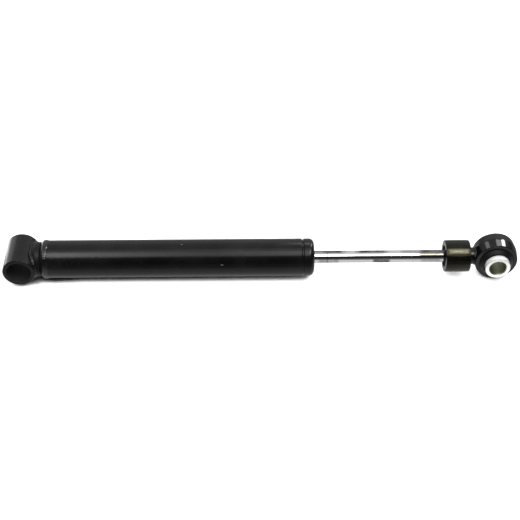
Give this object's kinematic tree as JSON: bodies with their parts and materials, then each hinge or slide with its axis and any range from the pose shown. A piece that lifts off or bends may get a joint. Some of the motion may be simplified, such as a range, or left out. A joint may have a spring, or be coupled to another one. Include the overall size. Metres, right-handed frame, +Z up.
{
  "type": "shock absorber",
  "caption": "Twin-tube hydraulic shock absorber: black tube with a plain cross-tube eye, chromed sliding rod with a rubber bump stop, and a bushed ring eye with a steel sleeve.",
  "frame": {"origin": "centre of the lower eye's bore", "axes": "+X along the damper from the lower eye to the rod eye, +Y along the bores of both eyes, +Z up"},
  "size_m": [0.5192, 0.042, 0.0448],
  "materials": {
    "black_paint": "semi-gloss black paint",
    "hard_chrome": "ground and chromed",
    "bright_zinc": "turned, bright zinc",
    "black_rubber": "moulded, matt",
    "plain_steel": "oiled, plain",
    "spring_steel": "blued, oiled",
    "sintered_iron": "sintered, oiled",
    "bearing_bronze": "lined bush",
    "filled_plastic": "filled fluoroplastic"
  },
  "bodies": {
    "cylinder": {"lower_eye": "black_paint", "eye_weld": "black_paint", "base_cap": "black_paint", "seam_weld": "black_paint", "reserve_tube": "black_paint", "pressure_tube": "plain_steel", "foot_valve_body": "sintered_iron", "foot_valve_bolt": "plain_steel", "foot_valve_discs": "spring_steel", "foot_valve_washer": "plain_steel", "foot_valve_nut": "plain_steel", "foot_check_spring": "spring_steel", "rod_guide": "sintered_iron", "guide_bush": "bearing_bronze", "guide_o_ring": "black_rubber", "oil_seal": "black_rubber", "garter_spring": "spring_steel", "seal_washer": "plain_steel", "closing_ring": "plain_steel"},
    "foot_plate": {"foot_check_plate": "spring_steel"},
    "band": {"piston_band": "filled_plastic"},
    "rod": {"piston_rod": "hard_chrome", "piston": "sintered_iron", "rebound_discs": "spring_steel", "spring_seat": "plain_steel", "rebound_spring": "spring_steel", "piston_nut": "plain_steel", "check_spring": "spring_steel", "check_stop": "plain_steel", "stop_ring": "plain_steel", "rebound_buffer": "black_rubber", "bump_stop": "black_rubber", "rod_eye_weld": "black_paint", "rod_eye_ring": "black_paint", "eye_bush": "black_rubber"},
    "piston_plate": {"piston_check_plate": "spring_steel"},
    "sleeve": {"eye_sleeve": "bright_zinc"}
  },
  "joints": [
    {"name": "rod_slide", "type": "slide", "parent": "cylinder", "child": "band", "axis": [1, 0, 0], "range_m": [-0.132, 0.025]},
    {"name": "rod_turn", "type": "hinge", "parent": "band", "child": "rod", "pos_m": [0, 0, 0], "axis": [1, 0, 0], "continuous": true},
    {"name": "sleeve_twist", "type": "hinge", "parent": "rod", "child": "sleeve", "pos_m": [0.4808, 0, 0], "axis": [0, 1, 0], "range_deg": [-15, 15], "stiffness_Nm_per_rad": 60},
    {"name": "foot_plate_lift", "type": "slide", "parent": "cylinder", "child": "foot_plate", "axis": [1, 0, 0], "range_m": [0, 0.001], "stiffness_N_per_m": 300, "springref_m": -0.0025, "deforming": ["foot_check_spring"]},
    {"name": "piston_plate_lift", "type": "slide", "parent": "rod", "child": "piston_plate", "axis": [1, 0, 0], "range_m": [0, 0.001], "stiffness_N_per_m": 500, "springref_m": -0.002, "deforming": ["check_spring"]}
  ]
}
